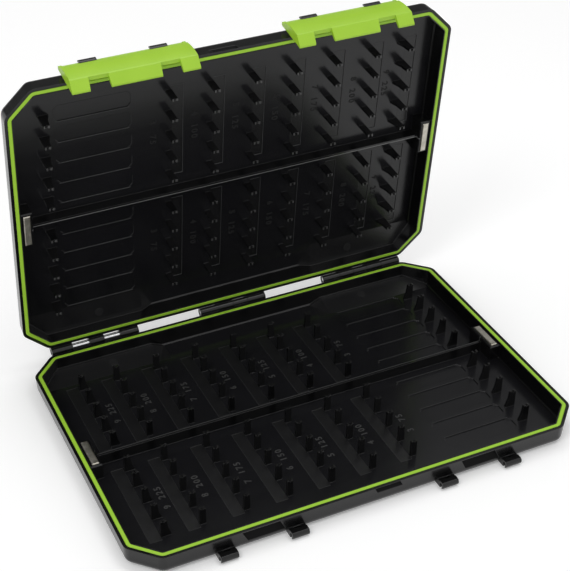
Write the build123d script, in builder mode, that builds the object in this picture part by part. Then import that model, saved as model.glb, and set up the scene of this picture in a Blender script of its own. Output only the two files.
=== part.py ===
from build123d import *
from math import radians, tan
import os

# Rig box: two equal moulded halves, hinged along the back and held by two front latches.
# Millimetres. The origin is the centre of the base's underside, +X right, +Y to the hinge, +Z up.

# Outline of one half, measured at its rim
case_length = 270.4
case_depth = 182.7
half_height = 12.5
corner_cut = 15.0
corner_blend = 6.2
outer_draft = 4.0
bottom_round = 5.0
rim_width = 4.6
floor_thickness = 1.7
floor_bevel = 0.7

# Each rim stops this far short of the plane where the halves meet
rim_gap = 0.15

# Sealing cord in the rim
seal_inset = 2.9
seal_width = 2.25
seal_depth = 1.6
seal_proud = 0.1
seal_edge_bevel = 0.35
seal_side_gap = 0.04

# Hinge: three pins on one axis, knuckles of both halves in turn along each pin
hinge_setback = 3.25
knuckle_radius = 2.5
pin_radius = 1.4
pin_clearance = 0.05
pin_end_inset = 0.4
pin_chamfer = 0.3
knuckle_gap = 0.25
side_hinge_edges = (63.4, 75.6, 85.5, 95.3, 105.7, 119.2)
middle_hinge_half = 22.3
middle_hinge_step = 9.9
cradle_rise = 0.5
web_reach = 7.0
web_shy = 0.4

# Sloping step along the hinge side of the floor
ramp_start = 58.0
ramp_side_run = 8.0
ramp_rise = 3.6
ramp_run = 14.6

# Divider across the middle
divider_thickness = 1.8
divider_drop = 4.0

# Magnets and their housings at both ends of the divider
magnet_length = 20.0
magnet_width = 4.0
magnet_height = 2.6
magnet_drop = 0.4
magnet_chamfer = 0.4
magnet_fit = 0.05
housing_drop = 1.1
housing_wall = 1.4
housing_bevel = 0.6

# Pegs that hold the rigs
peg_columns = (-109.95, -88.05, -62.65, -37.25, -11.85, 13.55, 38.95)
anchor_column = 112.4
row_count = 5
row_pitch = 13.7
first_row = 11.35
peg_width = 3.4
peg_thickness = 1.7
peg_root_growth = 0.15
peg_tip_drop = 0.2
notch_width = 1.7
notch_depth = 0.9
fin_flare = 2.7
fin_knee_share = 0.3

# Shallow pockets for the loose ends, and the strip beside each column
lane_start = 61.0
lane_end = 105.5
lane_width = 10.2
lane_depth = 0.55
lane_corner = 2.4
strip_near = 1.9
strip_width = 7.0
strip_overrun = 2.7
strip_depth = 0.3

# Front lugs, which carry the latch rod on the lid and fill the latch notches on the base
latch_centre = 65.25
lug_pitch = 40.3
lug_width = 9.8
lug_radius = 2.4
lug_roll_drop = 7.9
lug_top_drop = 8.4
latch_axis_out = 3.1
latch_axis_drop = 9.9
lug_bore_clearance = 0.07
lug_mouth = 1.6
lug_slot_length = 4.4
lug_slot_width = 2.0
lug_slot_gap = 0.4

# Finger recess behind each latch and the small pry recess under the rim
finger_start = -11.0
finger_length = 21.4
finger_slant = 3.6
finger_top = 0.7
finger_bottom = 8.0
finger_depth = 2.4
pry_start = 0.9
pry_length = 15.3
pry_slant = 2.0
pry_top = 0.3
pry_bottom = 4.2
pry_depth = 1.6

# Latch: sizes run outward and downward from its rod
latch_length = 72.0
rod_radius = 0.95
plate_thickness = 1.8
plate_top_out = 2.3
plate_top_drop = 2.6
plate_bulge_out = 3.4
plate_edge_bevel = 0.6
fold_out = 3.0
fold_drop = 17.6
fold_blend = 1.6
lip_out = -2.2
lip_in = -3.2
lip_drop = 22.3
lip_thickness = 1.1
latch_notch_width = 10.9
latch_notch_flare = 0.55
latch_notch_drop = 17.65
end_wall = 1.8
end_wall_in = 2.6
end_wall_radius = 1.3
rod_web_gap = 0.35
rod_web_half = 0.85

# The lid stands open by this angle in the stored pose
lid_rest_angle = 84.0

# Places that follow from the sizes above
half_length = case_length / 2
half_depth = case_depth / 2
rim_z = half_height - rim_gap
hinge_y = half_depth + hinge_setback
inner_end = half_length - rim_width
inner_back = half_depth - rim_width
peg_rows = [side * (first_row + row_pitch * step) for side in (-1, 1) for step in range(row_count)]
lug_centres = [side * latch_centre + shift * lug_pitch / 2 for side in (-1, 1) for shift in (-1, 1)]
lug_y = -(half_depth + latch_axis_out)
lug_z = half_height - latch_axis_drop

hinge_axis = Axis((0, hinge_y, half_height), (1, 0, 0))
turn_over_axis = Axis((0, 0, half_height), (0, 1, 0))


def open_with_lid(closed_piece):
    """Swing a piece of the closed lid up to the stored pose."""
    return closed_piece.rotate(hinge_axis, -lid_rest_angle)


def turn_over(base_piece):
    """Turn a piece of the base over, as the lid is the same moulding upside down."""
    return base_piece.rotate(turn_over_axis, 180)


def front_y(height):
    """Outer face of the front wall at this height, which leans in towards the bottom."""
    return -(half_depth - (rim_z - height) * tan(radians(outer_draft)))


def knuckle_spans(edges, own):
    """Pairs of knuckle ends, every second one, each short of its neighbour by half the gap."""
    spans = zip(edges[:-1], edges[1:])
    return [(low + knuckle_gap / 2, high - knuckle_gap / 2) for low, high in list(spans)[own::2]]


def hinge_edges(side):
    """Knuckle ends of one side hinge, from left to right."""
    if side > 0:
        return list(side_hinge_edges)
    return [-edge for edge in reversed(side_hinge_edges)]


def middle_edges():
    """Knuckle ends of the middle hinge, from left to right."""
    return [
        -middle_hinge_half,
        -middle_hinge_step,
        0.0,
        middle_hinge_step,
        middle_hinge_half,
    ]


# Hollow of one half, with its bevelled foot and the sloping steps along the hinge side
def cavity():
    with BuildPart() as hollow:
        with BuildSketch(Plane.XY.offset(floor_thickness)):
            Rectangle(case_length, case_depth)
            chamfer(vertices(), corner_cut)
            fillet(vertices(), corner_blend)
            offset(amount=-rim_width, mode=Mode.REPLACE)
        extrude(amount=half_height)
        chamfer(hollow.faces().sort_by(Axis.Z)[0].edges(), floor_bevel)
        for side in (-1, 1):
            add(hinge_ramp(side), mode=Mode.SUBTRACT)
    return hollow.part


# Sloping step beside the hinge: a wedge whose inner end is cut by a slanted plane
def hinge_ramp(side):
    length = inner_end - ramp_start + ramp_side_run + 1
    with BuildPart() as wedge:
        with BuildSketch(Plane.YZ.offset(ramp_start - ramp_side_run)):
            with BuildLine():
                Polyline(
                    (inner_back + 1, floor_thickness - 1),
                    (inner_back + 1, floor_thickness + ramp_rise),
                    (inner_back, floor_thickness + ramp_rise),
                    (inner_back - ramp_run, floor_thickness),
                    (inner_back - ramp_run, floor_thickness - 1),
                    close=True,
                )
            make_face()
        extrude(amount=length)
        top_corner = Vector(ramp_start, inner_back, floor_thickness + ramp_rise)
        foot_corner = Vector(ramp_start, inner_back - ramp_run, floor_thickness)
        side_corner = Vector(ramp_start - ramp_side_run, inner_back, floor_thickness)
        slant = (foot_corner - top_corner).cross(side_corner - top_corner)
        keep = Keep.TOP if slant.X > 0 else Keep.BOTTOM
        split(bisect_by=Plane(origin=top_corner, z_dir=slant), keep=keep)
        if side < 0:
            mirror(about=Plane.YZ, mode=Mode.REPLACE)
    return wedge.part


# Outer body of one half, hollowed, with the groove for the sealing cord
def tray_body():
    with BuildPart() as tray:
        with BuildSketch(Plane.XY.offset(rim_z)):
            Rectangle(case_length, case_depth)
            chamfer(vertices(), corner_cut)
            fillet(vertices(), corner_blend)
        extrude(amount=-rim_z)
        walls = tray.faces().filter_by(Axis.Z, reverse=True)
        draft(walls, Plane.XY.offset(rim_z), -outer_draft)
        fillet(tray.faces().sort_by(Axis.Z)[0].edges(), bottom_round)
        add(cavity(), mode=Mode.SUBTRACT)
        with BuildSketch(Plane.XY.offset(rim_z)):
            seal_ring(seal_width + 2 * seal_side_gap)
        extrude(amount=-seal_depth, mode=Mode.SUBTRACT)
    return tray.part


# Ring that follows the rim, used for the groove and for the cord
def seal_ring(width):
    Rectangle(case_length, case_depth)
    chamfer(vertices(), corner_cut)
    fillet(vertices(), corner_blend)
    outer_edge = offset(amount=-(seal_inset - width / 2), mode=Mode.REPLACE)
    offset(outer_edge, amount=-width, mode=Mode.SUBTRACT)


# Outline of one forked peg, standing in the floor; a flared one spreads at its root
def peg_outline(column_x, flare):
    tip = half_height - peg_tip_drop
    root = floor_thickness - floor_thickness / 2
    top_half = peg_width / 2
    root_half = top_half + peg_root_growth
    inward = -1 if column_x > 0 else 1
    plain_root = (column_x - inward * root_half, root)
    fork = [
        (column_x - inward * top_half, tip),
        (column_x - inward * notch_width / 2, tip),
        (column_x, tip - notch_depth),
        (column_x + inward * notch_width / 2, tip),
        (column_x + inward * top_half, tip),
    ]
    with BuildSketch() as outline:
        with BuildLine():
            Polyline(plain_root, *fork)
            if flare > 0:
                wide_root = (column_x + inward * (root_half + flare), root)
                knee = (column_x + inward * (top_half + fin_knee_share * flare), (tip + root) / 2)
                Polyline(fork[-1], knee, wide_root, plain_root)
            else:
                Polyline(fork[-1], (column_x + inward * root_half, root), plain_root)
        make_face()
    return outline.sketch


# Pegs of one row: all columns at once
def peg_row(row_y):
    with BuildPart() as row:
        with BuildSketch(Plane(origin=(0, row_y, 0), x_dir=(1, 0, 0), z_dir=(0, -1, 0))):
            add(peg_outline(peg_columns[0], fin_flare))
            for column_x in peg_columns[1:]:
                add(peg_outline(column_x, 0))
            add(peg_outline(anchor_column, fin_flare))
        extrude(amount=peg_thickness / 2, both=True)
    return row.part


# Divider wall and the two magnet housings at its ends
def divider_wall():
    wall_length = 2 * (inner_end - housing_reach())
    with BuildPart() as wall:
        with BuildSketch(Plane.XY.offset(floor_thickness / 2)):
            Rectangle(wall_length + housing_wall, divider_thickness)
        extrude(amount=half_height - divider_drop - floor_thickness / 2)
    return wall.part


def housing_reach():
    """How far a magnet housing stands in from the end wall."""
    return magnet_width + 2 * housing_wall + magnet_fit


def magnet_x():
    """Centre of a magnet, midway across its housing."""
    return inner_end - housing_reach() / 2


def magnet_housing(side):
    root = (rim_width - seal_inset - seal_width / 2) / 2
    with BuildPart() as housing:
        with BuildSketch(Plane.XY.offset(floor_thickness / 2)):
            with Locations((side * (inner_end - housing_reach() / 2 + root / 2), 0)):
                Rectangle(housing_reach() + root, magnet_length + 2 * housing_wall)
        extrude(amount=half_height - housing_drop - floor_thickness / 2)
        chamfer(housing.faces().sort_by(Axis.Z)[-1].edges(), housing_bevel)
    return housing.part


# Knuckle on the hinge axis with its web; a cradle is cut off a little above the pin's axis
def knuckle(span, is_cradle):
    low, high = span
    with BuildPart() as part:
        with BuildSketch(Plane.YZ.offset(low)):
            with Locations((hinge_y, half_height)):
                Circle(knuckle_radius)
            add(web_outline())
            with Locations((hinge_y, half_height)):
                Circle(pin_radius + pin_clearance, mode=Mode.SUBTRACT)
            if is_cradle:
                with Locations((hinge_y, half_height + cradle_rise + knuckle_radius)):
                    Rectangle(3 * knuckle_radius, 2 * knuckle_radius, mode=Mode.SUBTRACT)
        extrude(amount=high - low)
    return part.part


def web_outline():
    """Web from the knuckle down to the back wall."""
    tangent = knuckle_radius / 2 ** 0.5
    wall_y = half_depth - rim_width / 4
    with BuildSketch() as outline:
        with BuildLine():
            Polyline(
                (wall_y, half_height - web_shy),
                (hinge_y, half_height - web_shy),
                (hinge_y + tangent, half_height - tangent),
                (wall_y, half_height - web_reach - knuckle_radius),
                close=True,
            )
        make_face()
    return outline.sketch


# Lug on the front wall: a round clip whose mouth faces away from the other half, with a slot behind it
def latch_lug(centre_x):
    roll_top_z = half_height - lug_roll_drop
    top_z = half_height - lug_top_drop
    foot_z = lug_z - lug_radius
    wall_y = front_y(lug_z) + rim_width / 3
    with BuildPart() as lug:
        with BuildSketch(Plane.YZ.offset(centre_x - lug_width / 2)):
            with Locations((lug_y, lug_z)):
                Circle(lug_radius)
            with BuildLine():
                Polyline(
                    (lug_y, top_z),
                    (wall_y, top_z),
                    (wall_y, lug_z),
                    (-(half_depth - bottom_round), foot_z),
                    (lug_y, foot_z),
                    close=True,
                )
            make_face()
            with Locations((lug_y, roll_top_z + lug_radius)):
                Rectangle(3 * lug_radius, 2 * lug_radius, mode=Mode.SUBTRACT)
            with Locations((lug_y, lug_z)):
                Circle(rod_radius + lug_bore_clearance, mode=Mode.SUBTRACT)
            with Locations((lug_y, lug_z - lug_radius)):
                Rectangle(lug_mouth, 2 * lug_radius, mode=Mode.SUBTRACT)
        extrude(amount=lug_width)
        slot_y = front_y(top_z) - lug_slot_gap - lug_slot_width / 2
        with BuildSketch(Plane.XY.offset(top_z)):
            with Locations((centre_x, slot_y)):
                Rectangle(lug_slot_length, lug_slot_width)
        extrude(amount=-half_height, mode=Mode.SUBTRACT)
    return lug.part


# Recess in the front wall with slanted ends: deepest under the rim, it runs out to nothing below
def wall_recess(start_x, length, slant, top, bottom, depth):
    outside = front_y(rim_z) - 1
    with BuildPart() as recess:
        with BuildSketch(Plane.XZ.offset(-outside)):
            with BuildLine():
                Polyline(
                    (start_x, half_height - top),
                    (start_x + slant, half_height - bottom),
                    (start_x + length + slant, half_height - bottom),
                    (start_x + length, half_height - top),
                    close=True,
                )
            make_face()
        extrude(amount=-(depth + 1))
        with BuildSketch(Plane.YZ.offset(start_x - 1)):
            with BuildLine():
                Polyline(
                    (front_y(half_height - top) + depth, half_height - top),
                    (front_y(half_height - bottom), half_height - bottom),
                    (front_y(half_height - top) + 2 * depth, half_height - bottom),
                    (front_y(half_height - top) + 2 * depth, half_height - top),
                    close=True,
                )
            make_face()
        extrude(amount=length + slant + 2, mode=Mode.SUBTRACT)
    return recess.part


# One moulded half, in the place of the base
def case_half():
    with BuildPart() as half:
        add(tray_body())
        with BuildSketch(Plane.XY.offset(floor_thickness)):
            for row_y in peg_rows:
                with Locations(((lane_start + lane_end) / 2, row_y)):
                    Rectangle(lane_end - lane_start, lane_width)
            chamfer(vertices(), lane_corner)
        extrude(amount=-lane_depth, mode=Mode.SUBTRACT)
        with BuildSketch(Plane.XY.offset(floor_thickness)):
            for side in (-1, 1):
                strip_length = row_pitch * (row_count - 1) + 2 * strip_overrun
                strip_y = side * (first_row + row_pitch * (row_count - 1) / 2)
                for column_x in peg_columns:
                    with Locations((column_x - strip_near - strip_width / 2, strip_y)):
                        Rectangle(strip_width, strip_length)
        extrude(amount=-strip_depth, mode=Mode.SUBTRACT)
        add(divider_wall())
        for side in (-1, 1):
            add(magnet_housing(side))
        with BuildSketch(Plane.XY.offset(half_height - magnet_drop)):
            with Locations((-magnet_x(), 0), (magnet_x(), 0)):
                Rectangle(magnet_width + 2 * magnet_fit, magnet_length + 2 * magnet_fit)
        extrude(amount=-magnet_height, mode=Mode.SUBTRACT)
        for row_y in peg_rows:
            add(peg_row(row_y))
        for span in knuckle_spans(hinge_edges(1), 0):
            add(knuckle(span, False))
        for span in knuckle_spans(middle_edges(), 0):
            add(knuckle(span, False))
        for centre_x in lug_centres:
            add(latch_lug(centre_x))
        for side in (-1, 1):
            finger_x = side * latch_centre + finger_start
            add(
                wall_recess(finger_x, finger_length, finger_slant, finger_top, finger_bottom, finger_depth),
                mode=Mode.SUBTRACT,
            )
        add(wall_recess(pry_start, pry_length, pry_slant, pry_top, pry_bottom, pry_depth), mode=Mode.SUBTRACT)
    return half.part


# The moulding with its left-hand knuckles: cradles on the base, closed ones on the lid's copy
def finished_half(plain_half, has_cradles):
    with BuildPart() as half:
        add(plain_half)
        for span in knuckle_spans(hinge_edges(-1), 1):
            add(knuckle(span, has_cradles))
    return half.part


# Sealing cord in its groove
def sealing_cord():
    with BuildPart() as cord:
        with BuildSketch(Plane.XY.offset(rim_z - seal_depth)):
            seal_ring(seal_width)
        extrude(amount=seal_depth + seal_proud)
        chamfer(cord.faces().sort_by(Axis.Z)[-1].edges(), seal_edge_bevel)
    return cord.part


# Steel hinge pin through one run of knuckles
def hinge_pin(low, high):
    length = high - low - 2 * pin_end_inset
    with BuildPart() as pin:
        with BuildSketch(Plane.YZ.offset(low + pin_end_inset)):
            with Locations((hinge_y, half_height)):
                Circle(pin_radius)
        extrude(amount=length)
        chamfer(pin.faces().filter_by(Axis.X).edges(), pin_chamfer)
    return pin.part


# Bar magnet in its housing, in the place of the base
def bar_magnet(side):
    with BuildPart() as bar:
        with BuildSketch(Plane.XY.offset(half_height - magnet_drop - magnet_height)):
            with Locations((side * magnet_x(), 0)):
                Rectangle(magnet_width, magnet_length)
        extrude(amount=magnet_height)
        chamfer(bar.faces().sort_by(Axis.Z)[-1].edges(), magnet_chamfer)
    return bar.part


# Latch profile points, given outward and downward from the rod, placed on the closed lid
def latch_point(outward, drop):
    rod_z = half_height + latch_axis_drop
    return (lug_y - outward, rod_z - drop)


def latch_plate_outline():
    """Bowed plate that folds inward to a lip under the base."""
    mid_drop = (plate_top_drop + fold_drop) / 2
    lip_slope = (lip_drop - fold_drop) / (fold_out - lip_out)
    inner_fold_out = fold_out - plate_thickness
    inner_fold_drop = fold_drop - plate_thickness * lip_slope / 2
    with BuildSketch() as outline:
        with BuildLine():
            ThreePointArc(
                latch_point(plate_top_out, plate_top_drop),
                latch_point(plate_bulge_out, mid_drop),
                latch_point(fold_out, fold_drop),
            )
            Polyline(
                latch_point(fold_out, fold_drop),
                latch_point(lip_out, lip_drop),
                latch_point(lip_in, lip_drop),
                latch_point(lip_in, lip_drop - lip_thickness),
                latch_point(inner_fold_out, inner_fold_drop),
            )
            ThreePointArc(
                latch_point(inner_fold_out, inner_fold_drop),
                latch_point(plate_bulge_out - plate_thickness, mid_drop),
                latch_point(plate_top_out - plate_thickness, plate_top_drop + plate_edge_bevel),
            )
            Line(
                latch_point(plate_top_out - plate_thickness, plate_top_drop + plate_edge_bevel),
                latch_point(plate_top_out, plate_top_drop),
            )
        make_face()
        fillet(vertices().sort_by_distance(latch_point(fold_out, fold_drop))[0], fold_blend)
    return outline.sketch


def latch_end_outline():
    """End wall of the latch, from the bowed plate back to just clear of the case."""
    mid_drop = (plate_top_drop + fold_drop) / 2
    with BuildSketch() as outline:
        with BuildLine():
            ThreePointArc(
                latch_point(plate_top_out, plate_top_drop),
                latch_point(plate_bulge_out, mid_drop),
                latch_point(fold_out, fold_drop),
            )
            Polyline(
                latch_point(fold_out, fold_drop),
                latch_point(lip_out, lip_drop),
                latch_point(lip_in, lip_drop),
                latch_point(lip_in, lip_drop - lip_thickness),
                latch_point(-end_wall_in, fold_drop),
                latch_point(-end_wall_radius, 0),
                latch_point(0, 0),
                latch_point(plate_top_out, plate_top_drop),
            )
        make_face()
        fillet(vertices().sort_by_distance(latch_point(fold_out, fold_drop))[0], fold_blend)
        with Locations(latch_point(0, 0)):
            Circle(end_wall_radius)
    return outline.sketch


def rod_web_outline():
    """Web that carries the rod from the top edge of the plate."""
    with BuildSketch() as outline:
        with BuildLine():
            Polyline(
                latch_point(rod_web_half, 0),
                latch_point(plate_top_out, plate_top_drop),
                latch_point(plate_top_out - plate_thickness, plate_top_drop + plate_edge_bevel),
                latch_point(-rod_web_half, 0),
                close=True,
            )
        make_face()
    return outline.sketch


# Stretches of the rod between and beyond the lugs, where webs may reach it
def web_stretches(centre_x):
    lug_clear = lug_width / 2 + rod_web_gap
    ends = [centre_x - latch_length / 2 + end_wall / 2]
    for shift in (-1, 1):
        lug_x = centre_x + shift * lug_pitch / 2
        ends += [lug_x - lug_clear, lug_x + lug_clear]
    ends += [centre_x + latch_length / 2 - end_wall / 2]
    return list(zip(ends[::2], ends[1::2]))


# One latch in its shut position on the closed lid
def latch(centre_x):
    start = centre_x - latch_length / 2
    with BuildPart() as body:
        with BuildSketch(Plane.YZ.offset(start)):
            add(latch_plate_outline())
        extrude(amount=latch_length)
        with BuildSketch(Plane.YZ.offset(start)):
            add(latch_end_outline())
        extrude(amount=end_wall)
        with BuildSketch(Plane.YZ.offset(start + latch_length - end_wall)):
            add(latch_end_outline())
        extrude(amount=end_wall)
        with BuildSketch(Plane.YZ.offset(start + end_wall / 2)):
            with Locations(latch_point(0, 0)):
                Circle(rod_radius)
        extrude(amount=latch_length - end_wall)
        for low, high in web_stretches(centre_x):
            with BuildSketch(Plane.YZ.offset(low)):
                add(rod_web_outline())
            extrude(amount=high - low)
        notch_top = latch_point(0, latch_notch_drop)[1]
        notch_foot = latch_point(0, lip_drop)[1] - 1
        with BuildSketch(Plane.XZ.offset(-lug_y - 2 * lug_radius)):
            for shift in (-1, 1):
                notch_x = centre_x + shift * lug_pitch / 2
                top_half = latch_notch_width / 2
                with BuildLine():
                    Polyline(
                        (notch_x - top_half, notch_top),
                        (notch_x + top_half, notch_top),
                        (notch_x + top_half + latch_notch_flare, notch_foot),
                        (notch_x - top_half - latch_notch_flare, notch_foot),
                        close=True,
                    )
                make_face()
        extrude(amount=4 * lug_radius, mode=Mode.SUBTRACT)
    return body.part


def save(piece, name):
    """Write one piece to its own file, named after its node."""
    piece.label = name
    export_step(piece, f"parts/{name}.step")


os.makedirs("parts", exist_ok=True)

# Base and lid are the same moulding but for two knuckles; the lid's copy is turned over and swung open
plain_half = case_half()
save(finished_half(plain_half, True), "base_shell")
lid_shell = open_with_lid(turn_over(finished_half(plain_half, False)))
save(lid_shell, "lid_shell")

# Sealing cords
base_seal = sealing_cord()
save(base_seal, "base_seal")
lid_seal = open_with_lid(turn_over(base_seal))
save(lid_seal, "lid_seal")

# Hinge pins
save(hinge_pin(hinge_edges(-1)[0], hinge_edges(-1)[-1]), "hinge_pin_left")
save(hinge_pin(middle_edges()[0], middle_edges()[-1]), "hinge_pin_middle")
save(hinge_pin(hinge_edges(1)[0], hinge_edges(1)[-1]), "hinge_pin_right")

# Magnets
for side, name in ((-1, "left"), (1, "right")):
    base_magnet = bar_magnet(side)
    save(base_magnet, f"base_magnet_{name}")
    lid_magnet = open_with_lid(turn_over(bar_magnet(-side)))
    save(lid_magnet, f"lid_magnet_{name}")

# Latches on the lid
for side, name in ((-1, "left"), (1, "right")):
    save(open_with_lid(latch(side * latch_centre)), f"latch_{name}")
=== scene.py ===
from math import pi, radians, tan

import bmesh
import bpy
from mathutils import Matrix, Vector


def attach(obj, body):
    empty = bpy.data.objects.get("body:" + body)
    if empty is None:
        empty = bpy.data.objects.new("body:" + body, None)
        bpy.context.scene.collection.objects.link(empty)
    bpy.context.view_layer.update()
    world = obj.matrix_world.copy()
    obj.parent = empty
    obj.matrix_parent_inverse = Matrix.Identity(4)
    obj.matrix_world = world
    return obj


# Rig box standing open. Metres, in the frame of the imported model: +X right, +Y to the hinge, +Z up.

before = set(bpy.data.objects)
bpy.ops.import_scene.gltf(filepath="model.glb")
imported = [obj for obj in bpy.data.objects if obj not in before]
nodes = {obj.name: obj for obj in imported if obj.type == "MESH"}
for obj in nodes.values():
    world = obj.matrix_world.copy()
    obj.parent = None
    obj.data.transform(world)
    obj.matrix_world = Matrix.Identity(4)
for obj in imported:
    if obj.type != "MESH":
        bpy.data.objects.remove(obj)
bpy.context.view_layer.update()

# Sizes that the moulding is known by
MM = 0.001
half_height = 12.5 * MM
hinge_y = 94.6 * MM
floor_height = 1.7 * MM
lid_angle = radians(84.0)
outer_draft = radians(4.0)

# Pegs in millimetres: the columns with strips beside them, from the left, and rows outward from the divider
column_x = (-109.95, -88.05, -62.65, -37.25, -11.85, 13.55, 38.95)
first_row = 11.35
row_pitch = 13.7
row_count = 5

# Numbers beside those columns, a short and a long one for each, with their places in millimetres
short_numbers = ("9", "8", "7", "6", "5", "4", "3")
long_numbers = ("225", "200", "175", "150", "125", "100", "75")
number_shift = 9.5
short_number_rows = (-47.3, 30.0)
long_number_rows = (-35.6, 42.0)
number_size = 5.3 * MM
number_spacing = 1.35
number_height = 0.25 * MM
number_bevel = 0.06 * MM
number_boldness = 0.07 * MM

# Painted highlights on the edges of the sunken strips and pockets, as thin pale beads with places in
# millimetres
strip_near = 1.9
strip_far = 8.9
strip_ends = (8.65, 68.85)
pocket_edge_ends = (62.2, 104.3)
pocket_width = 10.2
bead_radius = 0.12 * MM

# Limits of the differently finished areas, from the middle and the underside of the moulding
hollow_half_length = 129.0 * MM
hollow_half_depth = 85.4 * MM
hollow_bottom = 1.0 * MM
strip_floor_top = 1.55 * MM
floor_top = 1.85 * MM
strips_end = 58.0 * MM
ramp_start = 50.0 * MM
ramp_foot = 71.9 * MM
ramp_top = 5.6 * MM
pegs_reach = 124.5 * MM
peg_tip = 12.2 * MM
divider_top = 8.42 * MM
divider_lit_edge = (0.3 * MM, 1.1 * MM)

# Recesses in the front wall, eroded to a dull finish: their spans along it, in millimetres, and their limits
recess_spans = ((-77.0, -50.5), (53.5, 80.0), (0.4, 18.6))
recess_low = 4.1 * MM
recess_high = 12.25 * MM
recess_front = 91.2 * MM
recess_back = 88.2 * MM

# Round spots that the ejector pins leave in the moulding, as x and y in millimetres
ejector_spots = ((-85.0, 80.6), (85.0, 80.6))
ejector_radius = 2.6 * MM

# Gloss of the black plastic: its roughness in each area, and how strongly it reflects
outer_roughness = 0.2
wall_roughness = 0.1
floor_roughness = 0.19
base_satin_roughness = 0.3
lid_satin_roughness = 0.24
recess_roughness = 0.6
streak_roughness = (-0.03, 0.05)
plastic_ior = 1.45
plastic_reflection = 0.46
recess_reflection = 0.1

# Radius to which its edges look rounded, and how quickly a painted highlight turns them pale
edge_radius = 0.35 * MM
edge_highlight_gain = 4

# Share of the surface grain on polished and on satin plastic, and roughness that scuffs add to the magnets
polished_grain = 0.25
satin_grain = 1.0
scuff_roughness = 0.08

# Repeats in a metre, along X, Y and Z, of the moulding streaks and of the rings on the pins
streak_scales = (14, 150, 60)
ring_scales = (2400, 120, 120)


def grey(shade):
    return (shade, shade, shade)


# Colours of the black plastic, as pairs from dark to pale or as one colour
wall_blacks = ((0.0028, 0.0028, 0.003), (0.0036, 0.0036, 0.0039))
floor_blacks = ((0.0056, 0.0056, 0.0066), (0.0076, 0.0076, 0.0088))
satin_blacks = ((0.0058, 0.0058, 0.0062), (0.0098, 0.0098, 0.0106))
streak_black = (0.0068, 0.0068, 0.0072)
spot_black = (0.014, 0.014, 0.0145)
# Painted highlights: a pale colour on all edges, on the peg tips and along the divider's top edge, brighter
# on the lid than on the base
edge_highlight_black = (0.018, 0.018, 0.019)
base_peg_tip_highlight = grey(0.009)
base_divider_highlight = grey(0.05)
lid_peg_tip_highlight = grey(0.05)
lid_divider_highlight = grey(0.13)
# Numbers paler on the base and darker on the lid: lit and shaded copies of one colour, as painted light
base_number_lit_blacks = (grey(0.028), grey(0.042))
lid_number_shaded_blacks = (grey(0.01), grey(0.014))
# Painted highlights on the beads, paler on the lid than on the base
base_bead_highlight_blacks = (grey(0.035), grey(0.05))
lid_bead_highlight_blacks = (grey(0.07), grey(0.1))

# Colours of the other materials, as pairs from dark to pale
latch_greens = ((0.335, 0.585, 0.025), (0.365, 0.62, 0.032))
seal_greens = ((0.32, 0.585, 0.03), (0.36, 0.64, 0.04))
pin_steels = ((0.56, 0.56, 0.57), (0.72, 0.72, 0.73))
magnet_metals = ((0.36, 0.34, 0.29), (0.62, 0.59, 0.52))
ground_whites = (grey(0.93), grey(0.95))
card_greys = (grey(0.2), grey(0.26))

# Light of the surroundings on the box, the same as the camera and gloss see it, and the ground's own glow
surroundings_light = 0.6
surroundings_seen = 1.0
ground_glow = 0.17

# Things around the box, in metres: its middle, the ground, and the grey card behind it
box_middle = (0, 0, 0.05)
ground_size = 6
card_place = (0.6, 2.2, 1.45)
card_scale = (7.0, 2.3, 1.0)

# Camera, matched to the photograph, in pixels and in metres
camera_place = (-0.28271, -0.56366, 0.52623)
camera_right = (0.91178, -0.41059, -0.00856)
camera_up = (0.23645, 0.50782, 0.82838)
camera_forward = (0.33578, 0.75732, -0.56010)
picture_width = 570
picture_height = 571
focal_pixels = 1396.75
centre_column = 245.0
centre_row = 265.0
sensor_width = 36.0


# Small helpers for node materials
def new_material(name):
    made = bpy.data.materials.new(name)
    made.use_nodes = True
    tree = made.node_tree
    shader = tree.nodes["Principled BSDF"]
    return made, tree, shader


def add_node(tree, kind, **settings):
    node = tree.nodes.new(kind)
    for name, value in settings.items():
        setattr(node, name, value)
    return node


def link(tree, out_socket, in_socket):
    tree.links.new(out_socket, in_socket)


def object_place(tree):
    return add_node(tree, "ShaderNodeTexCoord").outputs["Object"]


def math_node(tree, operation, *operands):
    node = add_node(tree, "ShaderNodeMath", operation=operation)
    for socket, value in zip(node.inputs, operands):
        if isinstance(value, (int, float)):
            socket.default_value = value
        else:
            link(tree, value, socket)
    return node.outputs[0]


def noise_node(tree, vector, scale, detail, roughness=0.5):
    node = add_node(tree, "ShaderNodeTexNoise")
    node.inputs["Scale"].default_value = scale
    node.inputs["Detail"].default_value = detail
    node.inputs["Roughness"].default_value = roughness
    link(tree, vector, node.inputs["Vector"])
    return node.outputs["Fac"]


def stretched_place(tree, place, scales):
    node = add_node(tree, "ShaderNodeMapping")
    node.inputs["Scale"].default_value = scales
    link(tree, place, node.inputs["Vector"])
    return node.outputs["Vector"]


# Colour that runs from the dark to the pale one of a pair, as a factor passes between two limits
def shade_node(tree, factor, pair, start=0.3, end=0.7):
    node = add_node(tree, "ShaderNodeValToRGB")
    for element, place, colour in zip(node.color_ramp.elements, (start, end), pair):
        element.position = place
        element.color = (*colour, 1)
    link(tree, factor, node.inputs["Fac"])
    return node.outputs["Color"]


def range_node(tree, value, low, high):
    node = add_node(tree, "ShaderNodeMapRange")
    node.inputs["To Min"].default_value = low
    node.inputs["To Max"].default_value = high
    link(tree, value, node.inputs["Value"])
    return node.outputs["Result"]


def soft_edges(tree, radius):
    node = add_node(tree, "ShaderNodeBevel", samples=6)
    node.inputs["Radius"].default_value = radius
    return node.outputs["Normal"]


def bump_node(tree, height, strength, distance, normal=None):
    node = add_node(tree, "ShaderNodeBump")
    node.inputs["Strength"].default_value = strength
    node.inputs["Distance"].default_value = distance
    link(tree, height, node.inputs["Height"])
    if normal is not None:
        link(tree, normal, node.inputs["Normal"])
    return node.outputs["Normal"]


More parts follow.
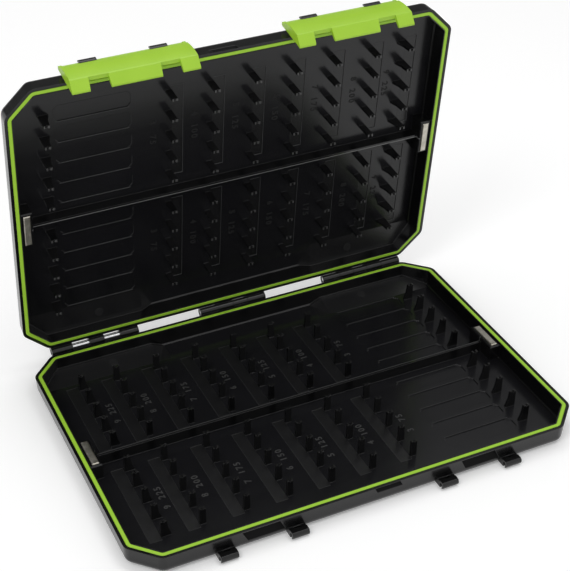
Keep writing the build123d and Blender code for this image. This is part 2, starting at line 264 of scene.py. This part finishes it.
# Blend of two colours or numbers by a mask
def blend(tree, mask, first, second, data_type="RGBA"):
    node = add_node(tree, "ShaderNodeMix", data_type=data_type)
    sockets = [socket for socket in node.inputs if socket.enabled]
    link(tree, mask, sockets[0])
    for socket, value in zip(sockets[1:], (first, second)):
        if isinstance(value, tuple):
            socket.default_value = (*value, 1)
        elif isinstance(value, float):
            socket.default_value = value
        else:
            link(tree, value, socket)
    return [socket for socket in node.outputs if socket.enabled][0]


# Tests that give one where they hold: below or above a limit, between two, or several at once
def below(tree, value, limit):
    return math_node(tree, "LESS_THAN", value, limit)


def above(tree, value, limit):
    return math_node(tree, "GREATER_THAN", value, limit)


def all_of(tree, *tests):
    total = tests[0]
    for test in tests[1:]:
        total = math_node(tree, "MULTIPLY", total, test)
    return total


def between(tree, value, low, high):
    return all_of(tree, above(tree, value, low), below(tree, value, high))


# Coordinates in which the lid's moulding lies like the base's
def moulding_place(tree, is_lid):
    place = object_place(tree)
    if not is_lid:
        return place
    shut = add_node(tree, "ShaderNodeVectorRotate", rotation_type="X_AXIS")
    shut.inputs["Center"].default_value = (0, hinge_y, half_height)
    shut.inputs["Angle"].default_value = lid_angle
    link(tree, place, shut.inputs["Vector"])
    turned = add_node(tree, "ShaderNodeVectorRotate", rotation_type="Y_AXIS")
    turned.inputs["Center"].default_value = (0, 0, half_height)
    turned.inputs["Angle"].default_value = pi
    link(tree, shut.outputs["Vector"], turned.inputs["Vector"])
    return turned.outputs["Vector"]


# Mask of the round spots left by the ejector pins
def spots_mask(tree, place):
    flat = add_node(tree, "ShaderNodeVectorMath", operation="MULTIPLY")
    flat.inputs[1].default_value = (1, 1, 0)
    link(tree, place, flat.inputs[0])
    total = None
    for x, y in ejector_spots:
        away = add_node(tree, "ShaderNodeVectorMath", operation="DISTANCE")
        away.inputs[1].default_value = (x * MM, y * MM, 0)
        link(tree, flat.outputs[0], away.inputs[0])
        spot = below(tree, away.outputs["Value"], ejector_radius)
        total = spot if total is None else math_node(tree, "ADD", total, spot)
    return total


# Mask of the recesses in the leaning front wall
def recess_mask(tree, x, y, z):
    in_wall = between(tree, y, -recess_front, -recess_back)
    in_height = between(tree, z, recess_low, recess_high)
    lean = tan(outer_draft)
    wall_face = math_node(tree, "MULTIPLY_ADD", z, lean, recess_front - recess_high * lean)
    behind_face = below(tree, math_node(tree, "MULTIPLY", y, -1), wall_face)
    beside = None
    for low, high in recess_spans:
        span = between(tree, x, low * MM, high * MM)
        beside = span if beside is None else math_node(tree, "ADD", beside, span)
    return all_of(tree, in_wall, in_height, behind_face, beside)


# Masks of the finishes and of the painted highlights: hollow, floor, satin strips and ramps, peg tips,
# divider's lit edge, recesses
def finish_masks(tree, place):
    split = add_node(tree, "ShaderNodeSeparateXYZ")
    link(tree, place, split.inputs[0])
    x, y, z = split.outputs
    across = math_node(tree, "ABSOLUTE", x)
    along = math_node(tree, "ABSOLUTE", y)
    hollow = all_of(
        tree,
        below(tree, across, hollow_half_length),
        below(tree, along, hollow_half_depth),
        above(tree, z, hollow_bottom),
    )
    floor_mask = all_of(tree, hollow, below(tree, z, floor_top))
    sunken = all_of(tree, below(tree, z, strip_floor_top), below(tree, x, strips_end))
    ramp = all_of(
        tree,
        above(tree, across, ramp_start),
        above(tree, y, ramp_foot),
        below(tree, z, ramp_top),
    )
    satin = all_of(tree, hollow, math_node(tree, "MAXIMUM", sunken, ramp))
    inside = all_of(tree, hollow, below(tree, across, pegs_reach))
    highlight_tips = all_of(tree, inside, above(tree, z, peg_tip))
    lit_edge = all_of(tree, inside, above(tree, z, divider_top), between(tree, y, *divider_lit_edge))
    return hollow, floor_mask, satin, highlight_tips, lit_edge, recess_mask(tree, x, y, z)


# How much a point lies on an edge of its part, from 0 on a flat to 1 in the middle of the edge
def edge_mask(tree, rounded):
    true_normal = add_node(tree, "ShaderNodeNewGeometry").outputs["Normal"]
    dot = add_node(tree, "ShaderNodeVectorMath", operation="DOT_PRODUCT")
    link(tree, rounded, dot.inputs[0])
    link(tree, true_normal, dot.inputs[1])
    turned = math_node(tree, "SUBTRACT", 1, dot.outputs["Value"])
    return math_node(tree, "MINIMUM", math_node(tree, "MULTIPLY", turned, edge_highlight_gain), 1)


# Black moulded plastic: polished walls and pegs, satin strips and ramps, dull recesses, and painted
# highlights on its edges, peg tips and divider's top edge
def black_plastic(name, is_lid, satin_roughness, peg_tip_highlight, divider_highlight):
    made, tree, shader = new_material(name)
    place = moulding_place(tree, is_lid)
    hollow, floor_mask, satin, highlight_tips, lit_edge, recess = finish_masks(tree, place)
    spots = spots_mask(tree, place)
    rounded = soft_edges(tree, edge_radius)
    blotch = noise_node(tree, place, scale=38, detail=3)
    mottle = noise_node(tree, place, scale=420, detail=4, roughness=0.65)
    grain = noise_node(tree, place, scale=1100, detail=2)
    streak = noise_node(tree, stretched_place(tree, place, streak_scales), scale=1.0, detail=4)

    colour = shade_node(tree, blotch, wall_blacks)
    colour = blend(tree, all_of(tree, hollow, streak), colour, streak_black)
    colour = blend(tree, floor_mask, colour, shade_node(tree, blotch, floor_blacks))
    colour = blend(tree, satin, colour, shade_node(tree, mottle, satin_blacks, end=0.75))
    colour = blend(tree, all_of(tree, spots, hollow), colour, spot_black)
    # Painted highlights: edges, peg tips and the divider's top edge made paler
    colour = blend(tree, edge_mask(tree, rounded), colour, edge_highlight_black)
    colour = blend(tree, highlight_tips, colour, peg_tip_highlight)
    colour = blend(tree, lit_edge, colour, divider_highlight)
    link(tree, colour, shader.inputs["Base Color"])

    rough = blend(tree, hollow, outer_roughness, wall_roughness, "FLOAT")
    rough = blend(tree, floor_mask, rough, floor_roughness, "FLOAT")
    rough = blend(tree, satin, rough, satin_roughness, "FLOAT")
    rough = blend(tree, recess, rough, recess_roughness, "FLOAT")
    rough = math_node(tree, "ADD", rough, range_node(tree, streak, *streak_roughness))
    link(tree, rough, shader.inputs["Roughness"])
    shader.inputs["IOR"].default_value = plastic_ior
    reflection = blend(tree, recess, plastic_reflection, recess_reflection, "FLOAT")
    link(tree, reflection, shader.inputs["Specular IOR Level"])

    grained = math_node(tree, "MULTIPLY", grain, range_node(tree, satin, polished_grain, satin_grain))
    peel = bump_node(tree, grained, strength=0.06, distance=0.1 * MM, normal=rounded)
    dimpled = bump_node(tree, spots, strength=0.5, distance=0.15 * MM, normal=peel)
    link(tree, dimpled, shader.inputs["Normal"])
    return made


# Raised characters and edge beads: the same black plastic in a paler colour, which on the beads is a painted
# highlight and on the numbers is painted light, paler on the base than on the lid
def pale_black(name, blacks):
    made, tree, shader = new_material(name)
    grain = noise_node(tree, object_place(tree), scale=900, detail=2)
    link(tree, shade_node(tree, grain, blacks), shader.inputs["Base Color"])
    link(tree, range_node(tree, grain, 0.5, 0.65), shader.inputs["Roughness"])
    shader.inputs["IOR"].default_value = plastic_ior
    shader.inputs["Specular IOR Level"].default_value = 0.25
    link(tree, bump_node(tree, grain, strength=0.1, distance=0.1 * MM), shader.inputs["Normal"])
    return made


# Lime green moulded plastic of the latches, slightly cloudy, with soft gloss
def green_plastic(name):
    made, tree, shader = new_material(name)
    place = object_place(tree)
    cloud = noise_node(tree, place, scale=60, detail=2)
    grain = noise_node(tree, place, scale=1200, detail=2)
    link(tree, shade_node(tree, cloud, latch_greens, 0.25, 0.75), shader.inputs["Base Color"])
    link(tree, range_node(tree, cloud, 0.3, 0.42), shader.inputs["Roughness"])
    shader.inputs["IOR"].default_value = 1.5
    shader.inputs["Subsurface Weight"].default_value = 0.08
    shader.inputs["Subsurface Radius"].default_value = (0.001, 0.0014, 0.0003)
    rounded = soft_edges(tree, 0.45 * MM)
    peel = bump_node(tree, grain, strength=0.05, distance=0.1 * MM, normal=rounded)
    link(tree, peel, shader.inputs["Normal"])
    return made


# Soft green cord of the seals
def green_seal(name):
    made, tree, shader = new_material(name)
    place = object_place(tree)
    cloud = noise_node(tree, place, scale=90, detail=3)
    grain = noise_node(tree, place, scale=1600, detail=3)
    link(tree, shade_node(tree, cloud, seal_greens, 0.2, 0.8), shader.inputs["Base Color"])
    link(tree, range_node(tree, grain, 0.42, 0.6), shader.inputs["Roughness"])
    shader.inputs["IOR"].default_value = plastic_ior
    link(tree, bump_node(tree, grain, strength=0.12, distance=0.1 * MM), shader.inputs["Normal"])
    return made


# Bright drawn steel of the hinge pins, with fine rings across their length
def steel_pin(name):
    made, tree, shader = new_material(name)
    place = stretched_place(tree, object_place(tree), ring_scales)
    rings = noise_node(tree, place, scale=1.0, detail=3)
    link(tree, shade_node(tree, rings, pin_steels, 0.2, 0.8), shader.inputs["Base Color"])
    shader.inputs["Metallic"].default_value = 1.0
    link(tree, range_node(tree, rings, 0.16, 0.3), shader.inputs["Roughness"])
    link(tree, bump_node(tree, rings, strength=0.06, distance=0.05 * MM), shader.inputs["Normal"])
    return made


# Plated bar magnet: warm bright plating with faint scuffs and dulled patches
def magnet_metal(name):
    made, tree, shader = new_material(name)
    place = object_place(tree)
    patch = noise_node(tree, place, scale=260, detail=4, roughness=0.6)
    scuff = noise_node(tree, place, scale=2600, detail=3, roughness=0.7)
    link(tree, shade_node(tree, patch, magnet_metals, 0.25, 0.75), shader.inputs["Base Color"])
    shader.inputs["Metallic"].default_value = 1.0
    dull = range_node(tree, patch, 0.22, 0.34)
    rough = math_node(tree, "ADD", dull, math_node(tree, "MULTIPLY", scuff, scuff_roughness))
    link(tree, rough, shader.inputs["Roughness"])
    rounded = soft_edges(tree, 0.3 * MM)
    peel = bump_node(tree, scuff, strength=0.12, distance=0.05 * MM, normal=rounded)
    link(tree, peel, shader.inputs["Normal"])
    return made


base_black = black_plastic("base_black", False, base_satin_roughness, base_peg_tip_highlight, base_divider_highlight)
lid_black = black_plastic("lid_black", True, lid_satin_roughness, lid_peg_tip_highlight, lid_divider_highlight)
base_number_lit_black = pale_black("base_number_lit_black", base_number_lit_blacks)
lid_number_shaded_black = pale_black("lid_number_shaded_black", lid_number_shaded_blacks)
base_bead_highlight_black = pale_black("base_bead_highlight_black", base_bead_highlight_blacks)
lid_bead_highlight_black = pale_black("lid_bead_highlight_black", lid_bead_highlight_blacks)
latch_green = green_plastic("latch_green")
seal_green = green_seal("seal_green")
pin_steel = steel_pin("pin_steel")
magnet_plate = magnet_metal("magnet_plate")

materials_by_node = {
    "base_shell": base_black,
    "lid_shell": lid_black,
    "base_seal": seal_green,
    "lid_seal": seal_green,
    "hinge_pin_left": pin_steel,
    "hinge_pin_middle": pin_steel,
    "hinge_pin_right": pin_steel,
    "latch_left": latch_green,
    "latch_right": latch_green,
    "base_magnet_left": magnet_plate,
    "base_magnet_right": magnet_plate,
    "lid_magnet_left": magnet_plate,
    "lid_magnet_right": magnet_plate,
}
for node_name, material in materials_by_node.items():
    for slot in nodes[node_name].material_slots:
        slot.material = material


# Turn about an axis through a point, which stays where it is
def turn_about(point, angle, axis):
    back = Matrix.Translation([-part for part in point])
    return Matrix.Translation(point) @ Matrix.Rotation(angle, 4, axis) @ back


# From the moulding in the place of the base to the same moulding in the open lid
turned_over = turn_about((0, 0, half_height), pi, "Y")
lid_place = turn_about((0, hinge_y, half_height), -lid_angle, "X") @ turned_over
base_place = Matrix.Identity(4)


# Mesh of a curve, which is not kept itself
def curve_mesh(curve):
    holder = bpy.data.objects.new("holder", curve)
    mesh = bpy.data.meshes.new_from_object(holder)
    bpy.data.objects.remove(holder)
    bpy.data.curves.remove(curve)
    return mesh


# One piece made of many small meshes, moulded in one with the half that it rides on
def moulded_piece(name, meshes, material, body, place):
    built = bmesh.new()
    for mesh in meshes:
        built.from_mesh(mesh)
        bpy.data.meshes.remove(mesh)
    whole = bpy.data.meshes.new(name)
    built.to_mesh(whole)
    built.free()
    whole.transform(place)
    whole.materials.append(material)
    piece = bpy.data.objects.new(name, whole)
    bpy.context.scene.collection.objects.link(piece)
    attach(piece, body)


# One raised number, lying on the floor of the moulding and read towards the hinge
def number_mesh(text, x, y):
    curve = bpy.data.curves.new("number", "FONT")
    curve.body = text
    curve.size = number_size
    curve.align_x = "CENTER"
    curve.align_y = "CENTER"
    curve.extrude = number_height / 2
    curve.bevel_depth = number_bevel
    curve.bevel_resolution = 1
    curve.offset = number_boldness
    curve.resolution_u = 3
    curve.space_character = number_spacing
    mesh = curve_mesh(curve)
    place = Matrix.Translation((x * MM, y * MM, floor_height))
    mesh.transform(place @ Matrix.Rotation(pi / 2, 4, "Z"))
    return mesh


def number_meshes():
    meshes = []
    for x, short, long in zip(column_x, short_numbers, long_numbers):
        for text, rows in ((short, short_number_rows), (long, long_number_rows)):
            for row_y in rows:
                meshes.append(number_mesh(text, x + number_shift, row_y))
    return meshes


# Numbers paler on the base and darker on the lid, as painted light
moulded_piece("base_numbers", number_meshes(), base_number_lit_black, "base", base_place)
moulded_piece("lid_numbers", number_meshes(), lid_number_shaded_black, "lid", lid_place)


# Thin bead along a line on the floor of the moulding, given in millimetres
def bead_mesh(points):
    curve = bpy.data.curves.new("bead", "CURVE")
    curve.dimensions = "3D"
    curve.bevel_depth = bead_radius
    curve.bevel_resolution = 1
    spline = curve.splines.new("POLY")
    spline.points.add(len(points) - 1)
    for point, (x, y) in zip(spline.points, points):
        point.co = (x * MM, y * MM, floor_height, 1)
    return curve_mesh(curve)


# Beads on each pocket's long side next to the hinge, and on each strip's far side and two ends
def bead_meshes():
    meshes = []
    for side in (-1, 1):
        for step in range(row_count):
            edge_y = side * (first_row + row_pitch * step) + pocket_width / 2
            meshes.append(bead_mesh([(end, edge_y) for end in pocket_edge_ends]))
        low, high = (side * end for end in strip_ends)
        for x in column_x:
            near = x - strip_near
            far = x - strip_far
            meshes.append(bead_mesh([(near, low), (far, low), (far, high), (near, high)]))
    return meshes


# Beads whose pale colour is a painted highlight
moulded_piece("base_highlight_beads", bead_meshes(), base_bead_highlight_black, "base", base_place)
moulded_piece("lid_highlight_beads", bead_meshes(), lid_bead_highlight_black, "lid", lid_place)


# Plain matt material of the ground and the card
def matt_material(name, pair, scale, detail):
    made, tree, shader = new_material(name)
    grain = noise_node(tree, object_place(tree), scale, detail)
    link(tree, shade_node(tree, grain, pair, 0.0, 1.0), shader.inputs["Base Color"])
    shader.inputs["Roughness"].default_value = 0.9
    return made, shader


# Pale floor that keeps the shadow of the box
def add_floor():
    bpy.ops.mesh.primitive_plane_add(size=ground_size)
    ground = bpy.context.object
    ground.name = "floor"
    made, shader = matt_material("floor_white", ground_whites, scale=3, detail=2)
    shader.inputs["Specular IOR Level"].default_value = 0.0
    shader.inputs["Emission Color"].default_value = (1, 1, 1, 1)
    shader.inputs["Emission Strength"].default_value = ground_glow
    ground.data.materials.append(made)


# White surroundings: pure white to the camera and in gloss, softer as light
def add_surroundings():
    world = bpy.data.worlds.new("surroundings")
    world.use_nodes = True
    bpy.context.scene.world = world
    tree = world.node_tree
    background = tree.nodes["Background"]
    background.inputs["Color"].default_value = (1, 1, 1, 1)
    path = add_node(tree, "ShaderNodeLightPath")
    seen = math_node(tree, "MAXIMUM", path.outputs["Is Camera Ray"], path.outputs["Is Glossy Ray"])
    seen = math_node(tree, "MAXIMUM", seen, path.outputs["Is Transmission Ray"])
    strength = range_node(tree, seen, surroundings_light, surroundings_seen)
    link(tree, strength, background.inputs["Strength"])


# Soft rectangular lamp turned towards the middle of the box
def soft_lamp(name, place, size, power):
    data = bpy.data.lights.new(name, "AREA")
    data.shape = "RECTANGLE"
    data.size = size[0]
    data.size_y = size[1]
    data.energy = power
    lamp = bpy.data.objects.new(name, data)
    lamp.location = place
    aim = Vector(box_middle) - Vector(place)
    lamp.rotation_euler = aim.to_track_quat("-Z", "Y").to_euler()
    bpy.context.scene.collection.objects.link(lamp)


# Grey card behind the box, seen only in its gloss, as the far side of a studio would be
def add_grey_card():
    bpy.ops.mesh.primitive_plane_add(size=1, location=card_place, rotation=(pi / 2, 0, 0))
    card = bpy.context.object
    card.name = "grey_card"
    card.scale = card_scale
    card.visible_camera = False
    card.visible_diffuse = False
    card.visible_shadow = False
    made = matt_material("card_grey", card_greys, scale=2, detail=1)[0]
    card.data.materials.append(made)


def add_camera():
    data = bpy.data.cameras.new("camera")
    data.sensor_fit = "HORIZONTAL"
    data.sensor_width = sensor_width
    data.lens = sensor_width * focal_pixels / picture_width
    data.shift_x = (picture_width / 2 - centre_column) / picture_width
    data.shift_y = (centre_row - picture_height / 2) / picture_width
    data.clip_start = 0.01
    data.clip_end = 20
    eye = bpy.data.objects.new("camera", data)
    columns = Matrix((camera_right, camera_up, [-part for part in camera_forward])).transposed()
    eye.matrix_world = Matrix.Translation(camera_place) @ columns.to_4x4()
    bpy.context.scene.collection.objects.link(eye)
    bpy.context.scene.camera = eye


add_floor()
add_surroundings()
soft_lamp("key_lamp", place=(-0.9, -0.5, 1.3), size=(0.5, 0.5), power=4.5)
soft_lamp("top_lamp", place=(0.25, 0.15, 1.5), size=(1.6, 0.4), power=6)
add_grey_card()
add_camera()
bpy.context.scene.view_settings.view_transform = "Standard"
